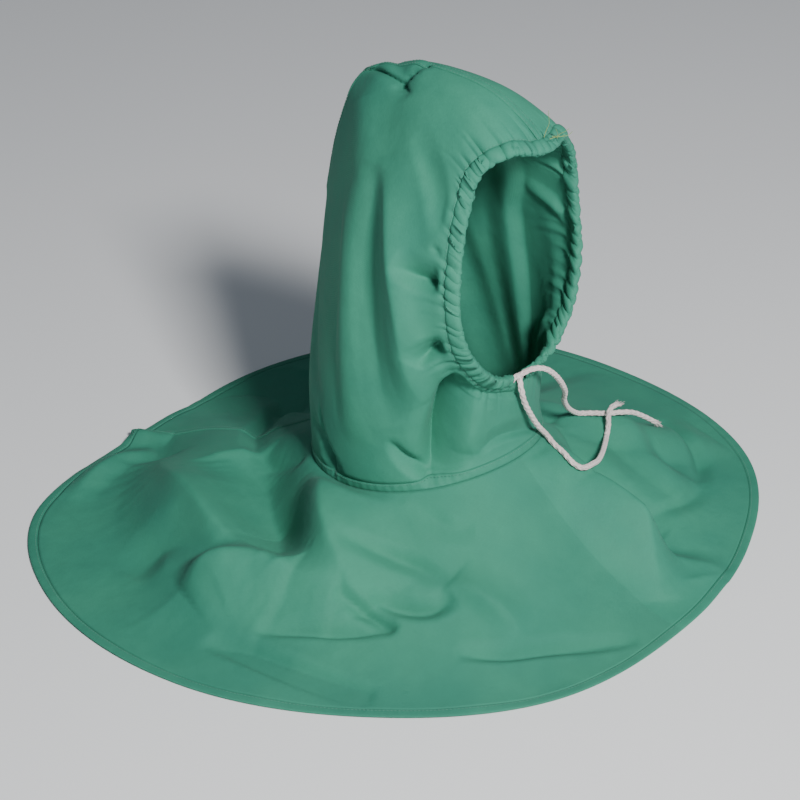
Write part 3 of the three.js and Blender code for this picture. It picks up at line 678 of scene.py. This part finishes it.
def gathered(angle, run):
    """The lift of the gathers in the hood, fading away from the casing."""
    full, row, share = gather(angle)
    from_edge = run_length(angle, 0 * run) * run - SEWN_WIDTH
    nearest = np.where(share < 0.5, row, (row + 1) % GATHERS)
    fade = np.clip(1 - from_edge / gather_reach[nearest], 0, 1) ** 1.4
    return HOOD_GATHER * gather_depths[nearest] * (full - 0.7) * fade * (run < 0.6)


def wrinkled(point):
    """A slight unevenness of all the cloth, so that nothing lies dead flat."""
    x, y, z = point[..., 0], point[..., 1], point[..., 2]
    waves = ((0.031, 0.017, 0.023, 0.6), (-0.019, 0.035, 0.011, 0.5), (0.052, -0.041, 0.037, 0.25),
             (0.083, 0.061, -0.047, 0.14), (0.021, -0.077, 0.059, 0.16))
    return sum(size * np.sin(a * x + b * y + c * z + 9 * size) for a, b, c, size in waves)


def dressed(angle, run):
    """The folded cloth with its gathers and its unevenness."""
    angle, run = np.broadcast_arrays(np.asarray(angle, float), np.asarray(run, float))
    point = cloth(angle, run)
    normal = frame_of(base, angle, run)[3]
    hem_hold = smoothstep(2 - run, 0.0, 0.05)
    point = point + normal * (gathered(angle, run) + wrinkled(point) * hem_hold)[..., None]
    point[..., 2] = np.maximum(point[..., 2], HEM_CLOTH / 2)
    return point


# Pieces
def finish_piece(piece, material, slot, *nodes):
    piece.data.materials.clear()
    piece.data.materials.append(material)
    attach(piece, "root")
    if nodes:
        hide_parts(*nodes)
    return piece


def new_piece(name, mesh):
    piece = bpy.data.objects.new(name, mesh)
    bpy.context.scene.collection.objects.link(piece)
    return piece


def built_piece(name, bm):
    mesh = bpy.data.meshes.new(name)
    bm.to_mesh(mesh)
    bm.free()
    return new_piece(name, mesh)


def laid_grid(name, columns, rows, lay):
    """A grid whose every vertex is laid in its place: lay takes shares across and down, from 0 to 1, and
    gives points in the seam frame and lengths for the cloth's own map."""
    bm = bmesh.new()
    bmesh.ops.create_grid(bm, x_segments=columns, y_segments=rows, size=0.5)
    flat = np.array([v.co for v in bm.verts])
    low, high = flat.min(0), flat.max(0)
    across = (flat[:, 0] - low[0]) / (high[0] - low[0])
    down = 1 - (flat[:, 1] - low[1]) / (high[1] - low[1])
    points, lengths = lay(across, down)
    cloth_map = bm.loops.layers.uv.new("cloth")
    bm.verts.index_update()
    for vertex, point in zip(bm.verts, metres(points)):
        vertex.co = point
    for face in bm.faces:
        face.smooth = True
        for loop in face.loops:
            loop[cloth_map].uv = lengths[loop.vert.index]
    bmesh.ops.remove_doubles(bm, verts=bm.verts, dist=2e-6)
    bmesh.ops.recalc_face_normals(bm, faces=bm.faces)
    return built_piece(name, bm)


def thicken(piece, thickness, side=0.0):
    wall = piece.modifiers.new("wall", "SOLIDIFY")
    wall.thickness, wall.offset = thickness * MM, side
    wall.use_even_offset = False
    return piece


def lengths_of(angle, run):
    """The cloth's own map in metres: girth across and width down."""
    girth = np.where(run <= 1, 0.65, 0.65 + 1.2 * (run - 1))
    return np.stack([angle / TURN * girth, run * 0.36], axis=-1)


def strip(start, end, denser=1.0):
    """A lay function for the cloth between two edges, with its rows denser towards the first."""
    def lay(across, down):
        angle = across * TURN
        run = start(angle) + (end(angle) - start(angle)) * down**denser
        return dressed(angle, run), lengths_of(angle, run)
    return lay


def frames_along(angle, run_at):
    """Frames of the dressed cloth for many vertices that share a few angles."""
    few, which = np.unique(angle, return_inverse=True)
    return [part[which] for part in frame_of(dressed, few, run_at(few))]


def band(start, end, top, bottom, puff):
    """A lay function for a doubled band between two edges: a closed, slightly padded section."""
    def lay(across, down):
        angle, turn = across * TURN, down * TURN
        share = (1 - np.cos(turn)) / 2
        first, last = frames_along(angle, start), frames_along(angle, end)
        point = first[0] + (last[0] - first[0]) * share[..., None]
        normal = unit(first[3] + (last[3] - first[3]) * share[..., None])
        side = np.sign(np.sin(turn)) * np.abs(np.sin(turn)) ** 0.45
        height = np.where(side > 0, side * (top + puff(angle)), side * bottom)
        run = start(angle) + (end(angle) - start(angle)) * share
        return point + normal * height[..., None], lengths_of(angle, run)
    return lay


def ridge(start_run, end_run):
    """A lay function for the narrow felled seam over the crown and down the back."""
    def lay(across, down):
        back = 0 * across + math.pi
        run = start_run(back) + (end_run(back) - start_run(back)) * across
        per_radian = np.linalg.norm(base(back + PROBE, run) - base(back, run), axis=-1) / PROBE
        turn = down * TURN
        pucker = 0.25 * np.sin(across * 260) * np.sin(across * 97 + 2)
        angle = back - np.cos(turn) * (RIDGE_WIDTH / 2 + 0.5 * pucker) / per_radian
        point, _, _, normal = frame_of(dressed, angle, run)
        side = np.sign(np.sin(turn)) * np.abs(np.sin(turn)) ** 0.4
        height = CLOTH / 2 + 0.1 + side * 0.55 + pucker * np.maximum(side, 0)
        return point + normal * height[..., None], lengths_of(angle, run)
    return lay


slit_angle = CASING_SLIT / 2 / (LOOP_SHAPE["wide"][0] * HOOD_HALF_WIDTH)


def casing_lay(across, down):
    """The casing: a flat tube from the sewn edge over the rim and back, gathered all round."""
    angle, turn = slit_angle + across * (TURN - 2 * slit_angle), down * TURN
    front, back = frames_along(angle, rim_line), frames_along(angle, casing_seam)
    normal = unit(front[3] + back[3])
    rim_share = (1 + np.cos(turn)) / 2
    full, row, share = gather(angle, rim_share)
    depth = gather_depths[row]
    spread = front[0] + (back[0] - front[0]) * (1 - rim_share)[..., None]
    side = np.sign(np.sin(turn)) * np.abs(np.sin(turn)) ** 0.75
    lean = CASING_GATHER * depth * (full - 0.3) * np.maximum(side, 0) ** 0.4
    height = side * CASING_PUFF * (0.85 + 0.15 * full) * (0.62 + 0.38 * rim_share) + lean
    scallop = RIM_SCALLOP * depth * (full - 0.5) * rim_share**2
    point = spread + normal * height[..., None] - front[2] * scallop[..., None]
    return point, np.stack([angle / TURN * 0.65, 0.03 + down * 0.04], axis=-1)


def gentle(angle):
    return 0.35 * np.sin(angle * 61) * np.sin(angle * 23 + 1)


hood_piece = laid_grid("hood_cloth", HOOD_COLUMNS, HOOD_ROWS, strip(casing_seam, neck_seam_top, 1.25))
finish_piece(thicken(hood_piece, CLOTH), green_cotton, "green_cloth", "hood")
cape_piece = laid_grid("cape_cloth", CAPE_COLUMNS, CAPE_ROWS, strip(neck_line, hem_top))
finish_piece(thicken(cape_piece, CLOTH), green_cotton, "green_cloth", "cape")
casing_piece = laid_grid("casing_cloth", CASING_COLUMNS, CASING_SIDES, casing_lay)
finish_piece(thicken(casing_piece, CASING_WALL, -1.0), seam_cotton, "seam_cloth", "face_casing")
neck_piece = laid_grid("neck_band", BAND_COLUMNS, BAND_SIDES,
                       band(neck_seam_top, neck_line, *NECK_BAND_HEIGHTS, gentle))
finish_piece(neck_piece, seam_cotton, "seam_cloth", "neck_seam")
hem_piece = laid_grid("hem_band", 2 * BAND_COLUMNS, BAND_SIDES,
                      band(hem_top, hem_line, *HEM_BAND_HEIGHTS, lambda a: 0.3 * np.abs(gentle(a))))
finish_piece(hem_piece, seam_cotton, "seam_cloth", "cape_hem")
crown_piece = laid_grid("crown_ridge", RIDGE_ROWS, RIDGE_SIDES, ridge(casing_seam, neck_seam_top))
finish_piece(crown_piece, seam_cotton, "seam_cloth", "crown_seam")
back_piece = laid_grid("back_ridge", RIDGE_ROWS, RIDGE_SIDES, ridge(neck_line, hem_top))
finish_piece(back_piece, seam_cotton, "seam_cloth", "cape_back_seam")


# Stitches
def stitch_row(name, places):
    """Short stitches along a line: places are points, directions along and normals at even steps."""
    bm = bmesh.new()
    for point, along, normal in places:
        across = np.cross(normal, along)
        turn = Matrix([*zip(along, across, normal)]).to_4x4()
        size = Matrix.Diagonal((STITCH_LONG / 2 * MM, STITCH_THICK * MM, STITCH_THICK * MM, 1))
        spot = Matrix.Translation(metres(point))
        bmesh.ops.create_uvsphere(bm, u_segments=6, v_segments=4, radius=1.0, matrix=spot @ turn @ size)
    for face in bm.faces:
        face.smooth = True
    return finish_piece(built_piece(name, bm), green_thread, "seam_cloth")


def even_places(line, normals):
    """Points, directions and normals at one stitch's pitch along a line."""
    steps = np.linalg.norm(np.diff(line, axis=0), axis=1)
    lengths = np.concatenate([[0], np.cumsum(steps)])
    spots = np.arange(STITCH_APART / 2, lengths[-1], STITCH_APART)
    read = lambda rows: np.stack([np.interp(spots, lengths, rows[:, i]) for i in range(3)], axis=-1)
    points, upright = read(line), unit(read(normals))
    along = unit(np.gradient(points, axis=0))
    upright = unit(upright - along * (along * upright).sum(-1, keepdims=True))
    return zip(points, along, upright)


def stitch_line(name, run_at, lift, start=0.0, end=TURN):
    angle = np.linspace(start, end, 1500)
    point, _, _, normal = frame_of(dressed, angle, run_at(angle))
    return stitch_row(name, even_places(point + normal * lift, normal))


def seam_stitches(name, start_run, end_run, sideways):
    share = np.linspace(0, 1, 500)
    back = 0 * share + math.pi
    run = start_run(back) + (end_run(back) - start_run(back)) * share
    per_radian = np.linalg.norm(base(back + PROBE, run) - base(back, run), axis=-1) / PROBE
    point, _, _, normal = frame_of(dressed, back + sideways / per_radian, run)
    return stitch_row(name, even_places(point + normal * RIDGE_STITCH_LIFT, normal))


stitch_line("casing_stitches", lambda a: casing_seam(a) * 1.08, CASING_STITCH_LIFT,
            slit_angle, TURN - slit_angle)
stitch_line("neck_stitches", lambda a: 1 - 0.8 * (1 - neck_seam_top(a)), NECK_STITCH_LIFT)
stitch_line("hem_stitches", lambda a: 2 - 0.78 * (2 - hem_top(a)), HEM_STITCH_LIFT)
for place_name, sideways in (("right", -RIDGE_STITCH_SIDE), ("left", RIDGE_STITCH_SIDE)):
    seam_stitches(f"crown_stitches_{place_name}", casing_seam, neck_seam_top, sideways)
    seam_stitches(f"back_stitches_{place_name}", neck_line, hem_top, sideways)


# Cords
def smooth_path(places, step):
    """A smooth line through the places, with points at an even step."""
    places = np.asarray(places, float)
    before = np.vstack([2 * places[0] - places[1], places, 2 * places[-1] - places[-2]])
    t = np.linspace(0, 1, 12, endpoint=False)[:, None]
    line = []
    for a, b, c, d in zip(before, before[1:], before[2:], before[3:]):
        line.append(0.5 * (2 * b + (c - a) * t + (2 * a - 5 * b + 4 * c - d) * t**2
                           + (3 * b - a - 3 * c + d) * t**3))
    line = np.vstack([*line, places[-1:]])
    lengths = np.concatenate([[0], np.cumsum(np.linalg.norm(np.diff(line, axis=0), axis=1))])
    spots = np.linspace(0, lengths[-1], max(2, round(lengths[-1] / step)) + 1)
    return np.stack([np.interp(spots, lengths, line[:, i]) for i in range(3)], axis=-1), lengths[-1]


def carried_frames(line):
    """Two directions square to the line at each point, carried along it without twist."""
    along = unit(np.gradient(line, axis=0))
    side = unit(np.cross(along[0], np.array([0.3, 0.2, 1.0])))
    sides = []
    for direction in along:
        side = unit(side - direction * (side @ direction))
        sides.append(side)
    sides = np.array(sides)
    return sides, np.cross(along, sides)


def add_line(curve, points, thick):
    """One line of a curve through the points, thinner towards its end where thick is given."""
    spline = curve.splines.new("POLY")
    spline.points.add(len(points) - 1)
    spline.points.foreach_set("co", np.hstack([metres(points), np.ones((len(points), 1))]).ravel())
    if thick is not None:
        spline.points.foreach_set("radius", thick)


def thread_piece(name, lines, radius, material, slot, resolution=1):
    """Round threads along the lines, made into a mesh."""
    curve = bpy.data.curves.new(name, "CURVE")
    curve.dimensions, curve.bevel_depth, curve.bevel_resolution = "3D", radius * MM, resolution
    curve.use_fill_caps = True
    for line, thick in lines:
        add_line(curve, line, thick)
    holder = bpy.data.objects.new(name + "_line", curve)
    bpy.context.scene.collection.objects.link(holder)
    mesh = bpy.data.meshes.new_from_object(holder.evaluated_get(bpy.context.evaluated_depsgraph_get()))
    bpy.data.objects.remove(holder)
    for face in mesh.polygons:
        face.use_smooth = True
    mesh.name = name
    return finish_piece(new_piece(name, mesh), material, slot)


def braid(name, places, node):
    """A round braided cord along the places: strands wound both ways, over and under each other."""
    line, length = smooth_path(places, 0.9)
    side, upward = carried_frames(line)
    run = np.linspace(0, length, len(line))
    strand = CORD * STRAND_SHARE
    lines = []
    for k in range(STRANDS):
        way = 1 if k % 2 else -1
        turn = way * (run / STRAND_PITCH * TURN) + (k // 2) / (STRANDS / 2) * TURN + (0.4 if way > 0 else 0)
        ring = CORD / 2 - strand + 0.22 * np.cos(STRANDS / 2 * turn * way + (math.pi if way > 0 else 0))
        outward = np.cos(turn)[:, None] * side + np.sin(turn)[:, None] * upward
        lines.append((line + ring[:, None] * outward, None))
    cover = thread_piece(name, lines, strand, white_cotton, "white_cord", 2)
    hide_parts(node)
    heart = thread_piece(name + "_heart", [(line, None)], CORD / 2 - 1.35 * strand, white_cotton,
                         "white_cord", 2)
    return cover, heart, line, length


def fray(name, line):
    """Loose fibres that spread from a cord's cut end."""
    tip, onward = line[-1], unit(line[-1] - line[-6])
    side = unit(np.cross(onward, [0, 0, 1]))
    upward = np.cross(side, onward)
    t = np.linspace(0, 1, 9)[:, None]
    lines = []
    for _ in range(FRAY_THREADS):
        turn, out = rng.uniform(0, TURN), rng.uniform(0.2, 1.0)
        away = math.cos(turn) * side + math.sin(turn) * upward * 0.6
        start = tip - onward * 2.5 + away * CORD * 0.32
        bend = away * out * rng.uniform(1.5, 6.0)
        curl = rng.normal(0, 0.35, 3)
        span = FRAY_REACH * rng.uniform(0.45, 1.0)
        fibre = start + onward * span * t + bend * t**1.6 + curl * np.sin(3 * t + turn) * span * 0.1
        fibre[:, 2] = np.maximum(fibre[:, 2], HEM_CLOTH)
        lines.append((fibre, np.linspace(1, 0.4, len(fibre))))
    return thread_piece(name, lines, FRAY_RADIUS, white_cotton, "white_cord")


def route(rows):
    return place(rows["left"], rows["forward"], rows["rise"])


def casing_middle(angle, back_run=casing_back):
    front, back = frame_of(cloth, angle, 0 * angle), frame_of(cloth, angle, back_run(angle))
    return (front[0] + back[0] - back[2] * SEW_GAP / 2) / 2


mouths = {"right": TURN - slit_angle, "left": slit_angle}
inner_angles = np.linspace(slit_angle, TURN - slit_angle, 90)
inner_line, _ = smooth_path(casing_middle(inner_angles, casing_seam), 1.6)
squeezed = SQUEEZE + (1 - SQUEEZE) * np.abs(np.linspace(-1, 1, len(inner_line))) ** 16
hidden = thread_piece("drawstring_in_casing", [(inner_line, squeezed)], CORD / 2 - 0.2, white_cotton,
                      "white_cord", 2)
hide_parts("drawstring")
free_ends = (("right", RIGHT_END_ROUTE, "cord_end_right"), ("left", LEFT_END_ROUTE, "cord_end_left"))
for place_name, rows, node in free_ends:
    mouth_angle = np.array([mouths[place_name]])
    mouth = casing_middle(mouth_angle)[0]
    inward = casing_middle(mouth_angle + np.sign(math.pi - mouth_angle) * slit_angle)[0]
    outward = unit(mouth - inward)
    starts = [mouth + outward * SEW_GAP, mouth + outward * (SEW_GAP + CORD / 2)]
    cover, heart, line, length = braid(f"drawstring_{place_name}", [*starts, *route(rows)], node)
    tips = fray(f"frayed_end_{place_name}", line)
    metres(line[0])
    length * MM
    [list(map(float, p)) for p in metres(line)]


# Loose threads at the end of the crown seam
def loose_thread(start, direction, span, curl):
    t = np.linspace(0, 1, 24)[:, None]
    swing = np.hstack([np.sin(5 * t + curl), np.cos(4 * t + 2 * curl) - math.cos(2 * curl),
                       np.sin(7 * t) * 0.5])
    return start + np.asarray(direction) * span * t + swing * span * 0.12 * t, np.linspace(1, 0.6, 24)


seam_end = frame_of(dressed, np.array([math.pi]), casing_seam(np.array([math.pi])))
spot, upright = seam_end[0][0], seam_end[3][0]
threads = [
    loose_thread(spot + upright * 3, (0.05, -0.1, 1.0), 24, 0.4),
    loose_thread(spot + upright * 4 + [4, -4, 0], (0.7, -0.5, -0.1), 16, 1.5),
    loose_thread(spot + upright * 4 + [6, -8, 0], (0.8, -0.1, 0.35), 12, 2.6),
    loose_thread(spot + upright * 5 + [-3, -6, 0], (0.6, -0.6, 0.3), 18, 3.4),
    loose_thread(spot + upright * 5 + [2, -10, 0], (0.5, 0.3, 0.25), 14, 4.4),
]
thread_piece("loose_threads", threads, 0.3, yellow_thread, "seam_cloth")

# Floor and light
FLOOR_REACH, FLOOR_GAP = 30, 0.0005
bm = bmesh.new()
bmesh.ops.create_grid(bm, x_segments=1, y_segments=1, size=FLOOR_REACH)
floor = built_piece("floor", bm)
floor.location.z = -seat[2] * MM - FLOOR_GAP
pale = bpy.data.materials.new("pale_floor")
pale.use_nodes = True
pale_inputs = pale.node_tree.nodes["Principled BSDF"].inputs
pale_inputs["Base Color"].default_value = (0.93, 0.93, 0.93, 1)
pale_inputs["Roughness"].default_value = 0.9
floor.data.materials.append(pale)

world = bpy.data.worlds.new("studio")
bpy.context.scene.world = world
world.use_nodes = True
sky = world.node_tree.nodes["Background"].inputs
sky["Color"].default_value = (0.86, 0.97, 1.12, 1)
sky["Strength"].default_value = 0.15


def soft_light(name, spot, target, size, power):
    lamp = bpy.data.lights.new(name, "AREA")
    lamp.size, lamp.energy = size, power
    light = bpy.data.objects.new(name, lamp)
    bpy.context.scene.collection.objects.link(light)
    light.location = spot
    light.rotation_mode = "QUATERNION"
    light.rotation_quaternion = (Vector(spot) - Vector(target)).to_track_quat("Z", "Y")


KEY_SPOT, KEY_TARGET, KEY_SIZE, KEY_POWER = (-1.01, -1.89, 1.55), (0, 0, -0.25), 0.5, 105
soft_light("key_light", KEY_SPOT, KEY_TARGET, KEY_SIZE, KEY_POWER)

bpy.context.view_layer.update()
